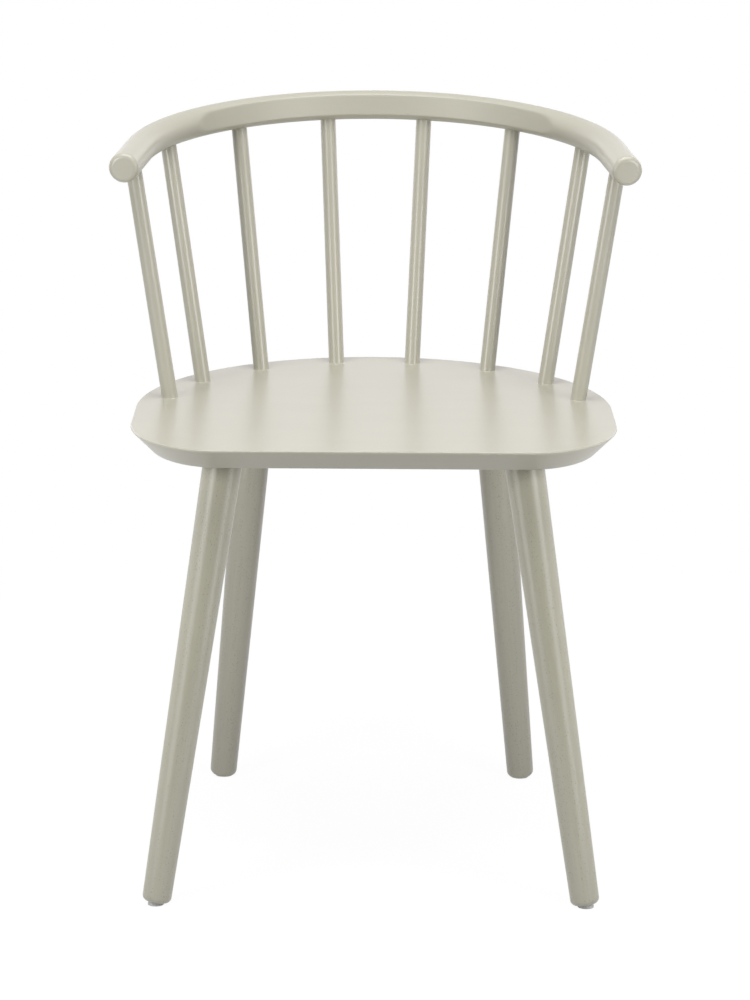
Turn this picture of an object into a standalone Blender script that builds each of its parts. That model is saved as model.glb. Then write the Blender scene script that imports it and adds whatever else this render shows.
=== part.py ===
"""Spindle-back dining chair in painted wood.

A flat seat with a chamfered underside stands on four splayed, tapered legs. Eight round spindles rise
from blind sockets near the back edge of the seat into sockets under a bent horseshoe rail. Each leg is
held by a hanger bolt in a threaded insert, and stands on a felt pad.

Sizes are in metres, +Z is up, the front of the chair faces -Y. Left and right are as seen from the
front. The origin lies on the floor under the middle of the chair's bounding box.
"""

import math

import bmesh
import bpy
from mathutils import Matrix, Vector

# Fit: room in each socket, overrun of each cutter, wood left over each blind hole
CLEARANCE = 0.0003
CUT_MARGIN = 0.02
WOOD_COVER = 0.0055

# Seat
SEAT_HEIGHT = 0.462
SEAT_WIDTH = 0.476
SEAT_DEPTH = 0.448
SEAT_THICKNESS = 0.0215
SEAT_EDGE_BAND = 0.002
SEAT_EDGE_ROUND = 0.0015
SEAT_BACK_ROUND = 0.252
SEAT_CORNER_WIDTH = 0.091
SEAT_CORNER_LENGTH = 0.122
SEAT_BACK_STEPS = 18
SEAT_CORNER_STEPS = 8

# Back rail
RAIL_DIAMETER = 0.030
RAIL_SIDE_OVERHANG = 0.0015
RAIL_BEND_ANGLE = math.radians(82.2)
RAIL_ARM_LENGTH = 0.079
RAIL_END_ROUND = 0.005
RAIL_RISE = 0.2667
RAIL_SETBACK = 0.0242
RAIL_TILT = math.radians(5.4)
RAIL_BEND_STEPS = 18
RAIL_END_STEPS = 4
RAIL_SIDES = 20

# Flat facet along the inner face of the rail
FACET_DEPTH = 0.0038
FACET_REACH = 0.197
FACET_RUN_OUT_RADIUS = 0.060
FACET_RUN_OUT_TURN = math.radians(45.0)
FACET_LEAN = math.radians(13.0)
FACET_STEPS = 12
RUN_OUT_STEPS = 4

# Spindles
SPINDLE_DIAMETER = 0.016
SPINDLE_INSET = 0.028
SPINDLE_SEAT_DEGREES = (11.0, 34.4, 57.4, 79.4)
FIRST_SPINDLE_STATION = 0.051
SECOND_SPINDLE_STATION = 0.153
THIRD_SPINDLE_STATION = 0.2605
FOURTH_SPINDLE_STATION = 0.370
SPINDLE_RAIL_DEPTH = 0.016
SPINDLE_END_CHAMFER = 0.001
SPINDLE_SIDES = 20

# Legs
LEG_TOP_DIAMETER = 0.0385
LEG_FOOT_DIAMETER = 0.0285
LEG_FOOT_ROUND = 0.0055
LEG_FOOT_STEPS = 4
LEG_SIDES = 28
FRONT_LEG_SIDE_INSET = 0.093
FRONT_LEG_EDGE_INSET = 0.0686
FRONT_LEG_SPLAY = math.radians(8.55)
FRONT_LEG_RAKE = math.radians(6.35)
REAR_LEG_SIDE_INSET = 0.1164
REAR_LEG_EDGE_INSET = 0.0993
REAR_LEG_SPLAY = math.radians(5.3)
REAR_LEG_RAKE = math.radians(9.9)

# Felt pads
PAD_DIAMETER = 0.016
PAD_THICKNESS = 0.0026
PAD_SIDES = 24

# Hanger bolts and threaded inserts
BOLT_DIAMETER = 0.008
BOLT_IN_LEG = 0.032
BOLT_POINT = 0.006
BOLT_THREAD_DEPTH = 0.001
BOLT_THREAD_PITCH = 0.005
BOLT_THREADS = 4
BOLT_SIDES = 14
INSERT_DIAMETER = 0.0135
INSERT_RECESS = 0.0015
INSERT_THREAD_DEPTH = 0.001
INSERT_THREADS = 3
INSERT_SIDES = 18

# Finishes: colour in linear light, roughness, metallic
FINISHES = {
    "grey_green_paint": ((0.49, 0.47, 0.39), 0.38, 0.0),
    "grey_felt": ((0.42, 0.42, 0.41), 0.95, 0.0),
    "zinc_plated_steel": ((0.62, 0.63, 0.65), 0.35, 1.0),
    "die_cast_zinc": ((0.50, 0.51, 0.53), 0.45, 1.0),
}

# Shading and meshing
SMOOTH_ANGLE = math.radians(30.0)
SHARP_ANGLE = math.radians(60.0)
FLAT_ANGLE = math.radians(0.5)
WELD_DISTANCE = 0.00001

# Places that follow from the sizes above
SEAT_UNDERSIDE = SEAT_HEIGHT - SEAT_THICKNESS
SEAT_BACK_CENTRE = SEAT_DEPTH / 2 - SEAT_BACK_ROUND
SEAT_CHAMFER = SEAT_THICKNESS - SEAT_EDGE_BAND
RAIL_RADIUS = RAIL_DIAMETER / 2
RAIL_BEND_RADIUS = SEAT_WIDTH / 2 + RAIL_SIDE_OVERHANG
RAIL_BEND_LENGTH = RAIL_BEND_RADIUS * RAIL_BEND_ANGLE
RAIL_HALF_LENGTH = RAIL_BEND_LENGTH + RAIL_ARM_LENGTH
RAIL_PLACE = Vector((0.0, SEAT_DEPTH / 2 + RAIL_SETBACK, SEAT_HEIGHT + RAIL_RISE))
RAIL_FRAME = Matrix.Translation(RAIL_PLACE) @ Matrix.Rotation(RAIL_TILT, 4, "X")
BOX_CENTRE = (RAIL_PLACE.y + RAIL_RADIUS - SEAT_DEPTH / 2) / 2
SIDES = (("left", -1), ("right", 1))
SPINDLE_RAIL_STATIONS = (
    FIRST_SPINDLE_STATION,
    SECOND_SPINDLE_STATION,
    THIRD_SPINDLE_STATION,
    FOURTH_SPINDLE_STATION,
)


def clear_scene():
    for item in list(bpy.data.objects):
        bpy.data.objects.remove(item, do_unlink=True)


def new_collection(name, parent):
    collection = bpy.data.collections.new(name)
    parent.children.link(collection)
    return collection


def paint(name):
    """The named finish as a Principled material, made once."""
    material = bpy.data.materials.get(name)
    if material is None:
        colour, roughness, metallic = FINISHES[name]
        material = bpy.data.materials.new(name)
        material.use_nodes = True
        shader = material.node_tree.nodes["Principled BSDF"]
        shader.inputs["Base Color"].default_value = (*colour, 1.0)
        shader.inputs["Roughness"].default_value = roughness
        shader.inputs["Metallic"].default_value = metallic
    return material


def add_object(name, mesh, collection, finish=None):
    """A mesh as a chair part, or as a hidden cutter when it has no finish."""
    item = bpy.data.objects.new(name, mesh)
    collection.objects.link(item)
    item.parent = chair_frame
    mesh.shade_smooth()
    mesh.set_sharp_from_angle(angle=SMOOTH_ANGLE)
    if finish:
        mesh.materials.append(paint(finish))
    else:
        item.hide_render = True
        item.display_type = "WIRE"
    return item


def stand_along(item, origin, axis):
    """Puts an object's origin at a point, with its own Z axis along the given direction."""
    item.location = origin
    item.rotation_mode = "QUATERNION"
    item.rotation_quaternion = axis.to_track_quat("Z", "Y")


def rod_mesh(name, length, diameter, sides):
    """A round rod standing on its own origin."""
    mesh = bpy.data.meshes.new(name)
    shape = bmesh.new()
    bmesh.ops.create_cone(
        shape,
        cap_ends=True,
        segments=sides,
        radius1=diameter / 2,
        radius2=diameter / 2,
        depth=length,
        matrix=Matrix.Translation((0.0, 0.0, length / 2)),
    )
    shape.to_mesh(mesh)
    shape.free()
    return mesh


def block_mesh(name, size, height):
    """A square block that rises from its own origin."""
    mesh = bpy.data.meshes.new(name)
    shape = bmesh.new()
    bmesh.ops.create_cube(
        shape,
        size=1.0,
        matrix=Matrix.Translation((0.0, 0.0, height / 2)) @ Matrix.Diagonal((size, size, height, 1.0)),
    )
    shape.to_mesh(mesh)
    shape.free()
    return mesh


def turned_object(name, profile, sides, collection, finish):
    """A turned piece: a profile of (radius, height) points, from its top down its outer side."""
    mesh = bpy.data.meshes.new(name)
    points = [(radius, 0.0, height) for radius, height in profile]
    edges = [(i, i + 1) for i in range(len(points) - 1)]
    mesh.from_pydata(points, edges, [])
    item = add_object(name, mesh, collection, finish)
    screw = item.modifiers.new("turning", "SCREW")
    screw.axis = "Z"
    screw.steps = sides
    screw.render_steps = sides
    screw.use_merge_vertices = True
    screw.merge_threshold = WELD_DISTANCE
    return item


def solid_from_curve(name, curve):
    """The closed mesh of a curve, with its caps welded and its flat faces whole."""
    guide = bpy.data.objects.new(name + "_guide", curve)
    bpy.context.scene.collection.objects.link(guide)
    graph = bpy.context.evaluated_depsgraph_get()
    mesh = bpy.data.meshes.new_from_object(guide.evaluated_get(graph))
    bpy.data.objects.remove(guide, do_unlink=True)
    mesh.name = name
    shape = bmesh.new()
    shape.from_mesh(mesh)
    bmesh.ops.remove_doubles(shape, verts=shape.verts, dist=WELD_DISTANCE)
    bmesh.ops.dissolve_limit(shape, angle_limit=FLAT_ANGLE, verts=shape.verts, edges=shape.edges)
    shape.to_mesh(mesh)
    shape.free()
    return mesh


def outline_curve(name, points, thickness):
    """A flat outline, filled, with the thickness shared above and below it."""
    curve = bpy.data.curves.new(name, "CURVE")
    curve.dimensions = "2D"
    curve.fill_mode = "BOTH"
    curve.extrude = thickness / 2
    spline = curve.splines.new("POLY")
    spline.points.add(len(points) - 1)
    for point, (x, y) in zip(spline.points, points):
        point.co = (x, y, 0.0, 1.0)
    spline.use_cyclic_u = True
    return curve


def cut(item, name, cutter):
    """Cuts one object, or every object of a collection, out of a part."""
    boolean = item.modifiers.new(name, "BOOLEAN")
    boolean.operation = "DIFFERENCE"
    boolean.solver = "EXACT"
    if isinstance(cutter, bpy.types.Collection):
        boolean.operand_type = "COLLECTION"
        boolean.collection = cutter
    else:
        boolean.object = cutter


def ease_edges(item, name, width, segments):
    """Rounds the sharp edges of a part."""
    bevel = item.modifiers.new(name, "BEVEL")
    bevel.width = width
    bevel.segments = segments
    bevel.limit_method = "ANGLE"
    bevel.angle_limit = SHARP_ANGLE


def seat_outline():
    """The seat's edge from above: an elliptic back, short straight sides, elliptic front corners."""
    half_width = SEAT_WIDTH / 2
    corner_x = half_width - SEAT_CORNER_WIDTH
    corner_y = -SEAT_DEPTH / 2 + SEAT_CORNER_LENGTH
    right = []
    for i in range(1, SEAT_BACK_STEPS + 1):
        turn = math.pi / 2 * i / SEAT_BACK_STEPS
        right.append((half_width * math.sin(turn), SEAT_BACK_CENTRE + SEAT_BACK_ROUND * math.cos(turn)))
    for i in range(SEAT_CORNER_STEPS + 1):
        turn = math.pi / 2 * i / SEAT_CORNER_STEPS
        x = corner_x + SEAT_CORNER_WIDTH * math.cos(turn)
        y = corner_y - SEAT_CORNER_LENGTH * math.sin(turn)
        right.append((x, y))
    left = [(-x, y) for x, y in reversed(right)]
    return [(0.0, SEAT_DEPTH / 2)] + right + left


def chamfer_underside(item, level, width):
    """Planes one broad chamfer round the lower rim of a slab."""
    group = item.vertex_groups.new(name="lower_rim")
    rim = [vertex.index for vertex in item.data.vertices if vertex.co.z < level]
    group.add(rim, 1.0, "REPLACE")
    bevel = item.modifiers.new("under_chamfer", "BEVEL")
    bevel.limit_method = "VGROUP"
    bevel.vertex_group = group.name
    bevel.width = width
    bevel.segments = 1
    bevel.use_clamp_overlap = False


def rail_point(distance):
    """A point of the rail's axis in the rail's own plane, at a signed distance from its middle."""
    bent = min(abs(distance), RAIL_BEND_LENGTH)
    straight = abs(distance) - bent
    turn = bent / RAIL_BEND_RADIUS
    x = RAIL_BEND_RADIUS * math.sin(turn) + straight * math.cos(turn)
    y = RAIL_BEND_RADIUS * (math.cos(turn) - 1.0) - straight * math.sin(turn)
    return Vector((math.copysign(x, distance), y, 0.0))


def rail_turn(distance):
    """How far the rail has turned from straight across, at a signed distance from its middle."""
    bent = min(abs(distance), RAIL_BEND_LENGTH)
    return math.copysign(bent / RAIL_BEND_RADIUS, distance)


def rail_curve():
    """The rail as a bent round bar whose last points shrink to round its ends."""
    half = [(RAIL_BEND_LENGTH * i / RAIL_BEND_STEPS, 1.0) for i in range(1, RAIL_BEND_STEPS + 1)]
    for i in range(RAIL_END_STEPS + 1):
        turn = math.pi / 2 * i / RAIL_END_STEPS
        distance = RAIL_HALF_LENGTH - RAIL_END_ROUND * (1.0 - math.sin(turn))
        half.append((distance, 1.0 - RAIL_END_ROUND * (1.0 - math.cos(turn)) / RAIL_RADIUS))
    stations = [(-distance, scale) for distance, scale in reversed(half)] + [(0.0, 1.0)] + half
    curve = bpy.data.curves.new("back_rail", "CURVE")
    curve.dimensions = "3D"
    curve.bevel_depth = RAIL_RADIUS
    curve.bevel_resolution = (RAIL_SIDES - 4) // 2
    curve.use_fill_caps = True
    spline = curve.splines.new("POLY")
    spline.points.add(len(stations) - 1)
    for point, (distance, scale) in zip(spline.points, stations):
        point.co = (*rail_point(distance), 1.0)
        point.radius = scale
    return curve


def facet_outline():
    """The facet's cutter from above: it follows the rail's inner side, then lifts out at each end."""
    depth = RAIL_RADIUS - FACET_DEPTH
    half = []
    for i in range(FACET_STEPS + 1):
        distance = FACET_REACH * i / FACET_STEPS
        turn = rail_turn(distance)
        half.append(rail_point(distance) + depth * Vector((-math.sin(turn), -math.cos(turn), 0.0)))
    start = half[-1]
    heading = rail_turn(FACET_REACH)
    for i in range(1, RUN_OUT_STEPS + 1):
        lift = FACET_RUN_OUT_TURN * i / RUN_OUT_STEPS
        along = FACET_RUN_OUT_RADIUS * math.sin(lift)
        away = FACET_RUN_OUT_RADIUS * (1.0 - math.cos(lift))
        x = start.x + along * math.cos(heading) - away * math.sin(heading)
        y = start.y - along * math.sin(heading) - away * math.cos(heading)
        half.append(Vector((x, y, 0.0)))
    squeeze = math.cos(FACET_LEAN)
    right = [(point.x, point.y * squeeze) for point in half]
    left = [(-x, y) for x, y in reversed(right[1:])]
    return left + right


def leg_lines():
    """For each leg: its name, the point where its axis meets the seat's underside, and its axis."""
    front = (-1, FRONT_LEG_SIDE_INSET, FRONT_LEG_EDGE_INSET, FRONT_LEG_SPLAY, FRONT_LEG_RAKE)
    rear = (1, REAR_LEG_SIDE_INSET, REAR_LEG_EDGE_INSET, REAR_LEG_SPLAY, REAR_LEG_RAKE)
    lines = []
    for row, (way, side_inset, edge_inset, splay, rake) in (("front", front), ("rear", rear)):
        for side, sign in SIDES:
            x = sign * (SEAT_WIDTH / 2 - side_inset)
            y = way * (SEAT_DEPTH / 2 - edge_inset)
            top = Vector((x, y, SEAT_UNDERSIDE))
            axis = Vector((-sign * math.tan(splay), -way * math.tan(rake), 1.0)).normalized()
            lines.append((f"{row}_{side}", top, axis))
    return lines


def spindle_lines():
    """For each spindle: its name, its foot on the seat, its entry under the rail, and its axis."""
    lines = []
    for side, sign in SIDES:
        places = zip(SPINDLE_SEAT_DEGREES, SPINDLE_RAIL_STATIONS)
        for number, (degrees, station) in enumerate(places, start=1):
            turn = sign * math.radians(degrees)
            x = (SEAT_WIDTH / 2 - SPINDLE_INSET) * math.sin(turn)
            y = SEAT_BACK_CENTRE + (SEAT_BACK_ROUND - SPINDLE_INSET) * math.cos(turn)
            foot = Vector((x, y, SEAT_HEIGHT))
            entry = RAIL_FRAME @ (rail_point(sign * station) - Vector((0.0, 0.0, RAIL_RADIUS)))
            lines.append((f"{side}_{number}", foot, entry, (entry - foot).normalized()))
    return lines


def socket_depth(axis, radius):
    """How deep a leaning round hole can go into the seat and leave its cover of wood."""
    lean = math.hypot(axis.x, axis.y)
    return (SEAT_THICKNESS - WOOD_COVER - radius * lean) / axis.z


def make_spindle(name, foot, entry, axis):
    """A spindle with its two ends in their sockets, and the cutters of those sockets."""
    seat_depth = socket_depth(axis, SPINDLE_DIAMETER / 2)
    length = seat_depth + (entry - foot).length + SPINDLE_RAIL_DEPTH
    mesh = rod_mesh(name, length, SPINDLE_DIAMETER, SPINDLE_SIDES)
    spindle = add_object("spindle_" + name, mesh, chair, "grey_green_paint")
    stand_along(spindle, foot - axis * seat_depth, axis)
    ease_edges(spindle, "end_chamfer", SPINDLE_END_CHAMFER, 1)
    bore = SPINDLE_DIAMETER + 2 * CLEARANCE
    lower = rod_mesh(name, seat_depth + CLEARANCE + CUT_MARGIN, bore, SPINDLE_SIDES)
    socket = add_object("seat_socket_" + name, lower, seat_cutters)
    stand_along(socket, foot - axis * (seat_depth + CLEARANCE), axis)
    upper = rod_mesh(name, SPINDLE_RAIL_DEPTH + CLEARANCE + CUT_MARGIN, bore, SPINDLE_SIDES)
    socket = add_object("rail_socket_" + name, upper, rail_cutters)
    stand_along(socket, entry - axis * CUT_MARGIN, axis)


def make_leg(name, top, axis):
    """A turned leg with a blind bore for its bolt, sawn off level under the seat."""
    foot = top - axis * ((top.z - PAD_THICKNESS * axis.z) / axis.z)
    length = (top - foot).length
    foot_radius = LEG_FOOT_DIAMETER / 2
    growth = (LEG_TOP_DIAMETER / 2 - foot_radius) / length
    bore_radius = BOLT_DIAMETER / 2 + CLEARANCE
    bore_floor = length - BOLT_IN_LEG - CLEARANCE
    crown = length + CUT_MARGIN
    profile = [(0.0, bore_floor), (bore_radius, bore_floor), (bore_radius, crown)]
    profile.append((foot_radius + growth * crown, crown))
    for i in range(LEG_FOOT_STEPS + 1):
        turn = math.pi / 2 * i / LEG_FOOT_STEPS
        height = LEG_FOOT_ROUND * (1.0 - math.sin(turn))
        radius = foot_radius + growth * height - LEG_FOOT_ROUND * (1.0 - math.cos(turn))
        profile.append((radius, height))
    profile.append((0.0, 0.0))
    leg = turned_object("leg_" + name, profile, LEG_SIDES, chair, "grey_green_paint")
    stand_along(leg, foot, axis)
    cut(leg, "level_top", above_legs)
    return foot


def make_pad(name, foot, axis):
    """A felt disc glued to the foot and pressed level by the floor."""
    drop = PAD_THICKNESS + CUT_MARGIN
    mesh = rod_mesh(name, drop - CLEARANCE, PAD_DIAMETER, PAD_SIDES)
    pad = add_object("felt_pad_" + name, mesh, chair, "grey_felt")
    stand_along(pad, foot - axis * drop, axis)
    cut(pad, "level_base", below_floor)


def make_fixing(name, top, axis):
    """The hanger bolt in a leg, the threaded insert that takes it, and the insert's hole in the seat."""
    hole = socket_depth(axis, INSERT_DIAMETER / 2)
    insert_length = hole - INSERT_RECESS - CLEARANCE
    ridge = INSERT_DIAMETER / 2
    core = ridge - INSERT_THREAD_DEPTH
    bore = BOLT_DIAMETER / 2 + CLEARANCE
    pitch = insert_length / INSERT_THREADS
    profile = [(bore, 0.0), (bore, insert_length), (core, insert_length)]
    for i in reversed(range(INSERT_THREADS)):
        profile += [(core, pitch * (i + 0.75)), (ridge, pitch * (i + 0.5)), (core, pitch * (i + 0.25))]
    profile += [(core, 0.0), (bore, 0.0)]
    insert = turned_object("threaded_insert_" + name, profile, INSERT_SIDES, chair, "die_cast_zinc")
    stand_along(insert, top + axis * INSERT_RECESS, axis)

    shank = BOLT_DIAMETER / 2
    root = shank - BOLT_THREAD_DEPTH
    reach = BOLT_IN_LEG + INSERT_RECESS + insert_length
    profile = [(0.0, reach), (root, reach), (shank, reach - BOLT_THREAD_DEPTH)]
    for i in reversed(range(BOLT_THREADS)):
        lift = BOLT_POINT + BOLT_THREAD_PITCH * i
        profile += [(shank, lift + BOLT_THREAD_PITCH * 0.5), (root, lift + BOLT_THREAD_PITCH * 0.25)]
    profile += [(root, BOLT_POINT), (0.0, 0.0)]
    bolt = turned_object("hanger_bolt_" + name, profile, BOLT_SIDES, chair, "zinc_plated_steel")
    stand_along(bolt, top - axis * BOLT_IN_LEG, axis)

    mesh = rod_mesh(name, hole + CUT_MARGIN, INSERT_DIAMETER + 2 * CLEARANCE, INSERT_SIDES)
    insert_hole = add_object("insert_hole_" + name, mesh, seat_cutters)
    stand_along(insert_hole, top - axis * CUT_MARGIN, axis)


def make_seat():
    """The seat panel: a slab, chamfered below, eased above, with its sockets cut."""
    mesh = solid_from_curve("seat", outline_curve("seat", seat_outline(), SEAT_THICKNESS))
    seat = add_object("seat", mesh, chair, "grey_green_paint")
    seat.location.z = SEAT_HEIGHT - SEAT_THICKNESS / 2
    chamfer_underside(seat, 0.0, SEAT_CHAMFER)
    ease_edges(seat, "top_easing", SEAT_EDGE_ROUND, 2)
    cut(seat, "sockets", seat_cutters)


def make_rail():
    """The bent rail, with the facet planed along its inner side and the spindle sockets below."""
    rail = add_object("back_rail", solid_from_curve("back_rail", rail_curve()), chair, "grey_green_paint")
    rail.location = RAIL_PLACE
    rail.rotation_euler.x = RAIL_TILT
    curve = outline_curve("facet", facet_outline(), 2 * RAIL_DIAMETER)
    plane = add_object("rail_facet", solid_from_curve("facet", curve), facet_cutters)
    plane.location = RAIL_PLACE
    plane.rotation_euler.x = RAIL_TILT - FACET_LEAN
    cut(rail, "facet", plane)
    cut(rail, "sockets", rail_cutters)


clear_scene()
chair = new_collection("spindle_back_chair", bpy.context.scene.collection)
cutters = new_collection("cutters", bpy.context.scene.collection)
seat_cutters = new_collection("seat_cutters", cutters)
rail_cutters = new_collection("rail_cutters", cutters)
facet_cutters = new_collection("facet_cutters", cutters)
level_cutters = new_collection("level_cutters", cutters)

chair_frame = bpy.data.objects.new("chair_frame", None)
chair_frame.location.y = -BOX_CENTRE
chair.objects.link(chair_frame)

span = 2 * (SEAT_WIDTH + SEAT_DEPTH)
above_legs = add_object("above_legs", block_mesh("above_legs", span, SEAT_HEIGHT), level_cutters)
above_legs.location.z = SEAT_UNDERSIDE - CLEARANCE
below_floor = add_object("below_floor", block_mesh("below_floor", span, SEAT_HEIGHT), level_cutters)
below_floor.location.z = -SEAT_HEIGHT

for name, foot, entry, axis in spindle_lines():
    make_spindle(name, foot, entry, axis)
for name, top, axis in leg_lines():
    foot = make_leg(name, top, axis)
    make_pad(name, foot, axis)
    make_fixing(name, top, axis)
make_seat()
make_rail()
bpy.context.view_layer.update()
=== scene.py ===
# %% [markdown]
# # A painted spindle-back chair
#
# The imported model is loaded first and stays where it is. Every visible piece of the chair is then
# worked out again as a fine surface, so that the satin paint gets clean highlights. The box of the
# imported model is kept, because the dressed chair has to stay inside it.

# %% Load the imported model
import math

import bpy
import numpy as np
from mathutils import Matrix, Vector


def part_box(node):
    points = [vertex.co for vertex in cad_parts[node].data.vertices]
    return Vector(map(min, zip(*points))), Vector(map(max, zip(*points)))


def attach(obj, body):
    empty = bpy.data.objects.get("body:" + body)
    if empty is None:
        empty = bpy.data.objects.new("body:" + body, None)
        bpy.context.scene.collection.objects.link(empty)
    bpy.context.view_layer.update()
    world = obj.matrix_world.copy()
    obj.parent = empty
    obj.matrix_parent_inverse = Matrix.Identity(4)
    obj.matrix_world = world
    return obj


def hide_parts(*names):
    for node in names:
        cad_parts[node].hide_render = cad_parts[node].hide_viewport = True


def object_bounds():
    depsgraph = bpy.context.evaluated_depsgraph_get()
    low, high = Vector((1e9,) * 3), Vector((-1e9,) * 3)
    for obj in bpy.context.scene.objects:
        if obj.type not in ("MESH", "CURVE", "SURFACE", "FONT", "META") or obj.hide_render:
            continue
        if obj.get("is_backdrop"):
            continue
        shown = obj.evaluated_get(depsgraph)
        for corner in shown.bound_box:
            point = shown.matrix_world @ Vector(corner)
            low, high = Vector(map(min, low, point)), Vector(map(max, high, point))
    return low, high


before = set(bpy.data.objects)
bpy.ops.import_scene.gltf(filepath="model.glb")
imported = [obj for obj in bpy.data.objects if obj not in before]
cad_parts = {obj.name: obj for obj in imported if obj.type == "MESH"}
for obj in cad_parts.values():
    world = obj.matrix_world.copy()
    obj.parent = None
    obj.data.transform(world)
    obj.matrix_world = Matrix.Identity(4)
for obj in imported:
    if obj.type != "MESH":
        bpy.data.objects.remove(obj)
cad_low, cad_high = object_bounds()
print("nodes:", len(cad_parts), "box:", [round(b - a, 4) for a, b in zip(cad_low, cad_high)])

# %% [markdown]
# ## The camera
#
# A studio shot of a chair is taken from a few metres away with a long lens, so that the legs stay
# nearly parallel. The place, the downward tilt and a slight roll of the camera were found by laying
# the outlines of the parts over the photograph. The rotation order puts the roll about the lens axis
# first and the tilt second.

# %% Camera at the photograph's place
camera_data = bpy.data.cameras.new("studio_camera")
camera_data.sensor_width = 36.0
camera_data.lens = 129.6
camera = bpy.data.objects.new("studio_camera", camera_data)
camera.rotation_mode = "ZXY"
camera.location = (0.0016, -3.5646, 1.2344)
camera.rotation_euler = (math.radians(90.0 - 13.861), 0.0, math.radians(0.362))
bpy.context.scene.collection.objects.link(camera)
bpy.context.scene.camera = camera
print("camera", tuple(round(v, 3) for v in camera.location), "lens", camera_data.lens)

# %% [markdown]
# ## From rings to a mesh
#
# Every piece of this chair is a stack of closed rings: round the seat's edge, round a spindle, round
# the bent rail. A grid of points with one row for each ring is enough to build any of them. Quads join
# each ring to the next, a fan closes each end, and the sign of the enclosed volume tells whether the
# faces look outwards. Each point also carries its place in the straight, unbent piece of wood, so that
# a grain pattern can follow the piece round a bend.

# %% A helper that skins rings
def skin_rings(name, rings, wood):
    """A closed mesh from rings of points, an array of rings by points by three.

    Quads join neighbouring rings, and a fan to the mean of the first and of the last ring closes the
    ends. The volume is a sixth of the sum of the triple products of the triangles' corners.
    """
    count, around = rings.shape[:2]
    points = np.vstack([rings.reshape(-1, 3), rings[0].mean(axis=0), rings[-1].mean(axis=0)])
    places = np.vstack([wood.reshape(-1, 3), wood[0].mean(axis=0), wood[-1].mean(axis=0)])
    here = np.arange(around)
    ahead = (here + 1) % around
    starts = (np.arange(count - 1) * around)[:, None]
    above = starts + around
    quads = np.stack([starts + here, starts + ahead, above + ahead, above + here], axis=-1)
    quads = quads.reshape(-1, 4)
    last = (count - 1) * around
    first_fan = np.stack([np.full(around, count * around), ahead, here], axis=-1)
    last_fan = np.stack([np.full(around, count * around + 1), last + here, last + ahead], axis=-1)
    corners = np.vstack([quads[:, [0, 1, 2]], quads[:, [0, 2, 3]], first_fan, last_fan])
    a, b, c = points[corners[:, 0]], points[corners[:, 1]], points[corners[:, 2]]
    volume = np.einsum("ij,ij->i", a, np.cross(b, c)).sum() / 6.0
    turn = slice(None, None, 1 if volume > 0 else -1)
    faces = quads[:, turn].tolist() + first_fan[:, turn].tolist() + last_fan[:, turn].tolist()
    mesh = bpy.data.meshes.new(name)
    mesh.from_pydata(points.tolist(), [], faces)
    stored = mesh.attributes.new("wood", "FLOAT_VECTOR", "POINT")
    stored.data.foreach_set("vector", places.astype(np.float32).ravel())
    mesh.shade_smooth()
    print(f"{name}: {len(points)} points, {abs(volume) * 1e6:.1f} cm3")
    return mesh


# %% [markdown]
# ## The paint
#
# The chair is sprayed with a pale grey-green satin paint over solid wood. A spray coat is never quite
# even: its tone drifts a little, it has a fine skin like orange peel, the open pores of the wood pull
# it in as short dashes along the grain, and here and there a grain of dust is caught in it. All of
# this is one node group that reads the place in the wood, so that the seat, the rail, the spindles and
# the legs share it and only differ in how many pores show.

# %% Helpers for wiring shader nodes
def add_node(tree, kind, **settings):
    """A shader node of the given kind, with its properties set by name."""
    node = tree.nodes.new(kind)
    for key, value in settings.items():
        setattr(node, key, value)
    return node


def wire(tree, source, target):
    """Joins an output socket to an input socket."""
    tree.links.new(source, target)


# %% [markdown]
# ### Sums and fades in nodes
#
# A material works with Math nodes, one for each sum. A helper that takes sockets or plain numbers keeps
# such a sum to one line. The other tool that the paint needs again and again is a smooth step between
# two limits.

# %% Helpers that calculate with sockets
def calculate(tree, operation, first, second=None, third=None, clamp=False):
    """A Math node on sockets or plain numbers; returns its output."""
    node = add_node(tree, "ShaderNodeMath", operation=operation, use_clamp=clamp)
    for socket, value in zip(node.inputs, (first, second, third)):
        if isinstance(value, bpy.types.NodeSocket):
            wire(tree, value, socket)
        elif value is not None:
            socket.default_value = value
    return node.outputs[0]


def fade(tree, value, low, high, start=0.0, end=1.0):
    """A smooth step of a value from low to high, put out as start to end."""
    node = add_node(tree, "ShaderNodeMapRange", interpolation_type="SMOOTHSTEP")
    wire(tree, value, node.inputs["Value"])
    for key, number in (("From Min", low), ("From Max", high), ("To Min", start), ("To Max", end)):
        node.inputs[key].default_value = number
    return node.outputs["Result"]


# %% [markdown]
# ### Dots from cells
#
# A Voronoi texture splits space into cells, each with one point. The distance to that point makes a
# round dot, and stretching the space along the grain makes it a dash. Each cell's random colour picks
# which cells get a dot at all, so the dots stay sparse and uneven.

# %% Dots and dashes
def dots(tree, place, stretch, size, share):
    """A mask of dots: one in a share of the cells of a stretched space, of the given size in cells."""
    mapping = add_node(tree, "ShaderNodeMapping")
    mapping.inputs["Scale"].default_value = stretch
    wire(tree, place, mapping.inputs["Vector"])
    cells = add_node(tree, "ShaderNodeTexVoronoi", feature="F1")
    cells.inputs["Scale"].default_value = 1.0
    wire(tree, mapping.outputs["Vector"], cells.inputs["Vector"])
    split = add_node(tree, "ShaderNodeSeparateColor")
    wire(tree, cells.outputs["Color"], split.inputs["Color"])
    chosen = fade(tree, split.outputs["Red"], share + 0.02, share - 0.02)
    return calculate(tree, "MULTIPLY", fade(tree, cells.outputs["Distance"], size, size * 0.45), chosen)


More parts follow.
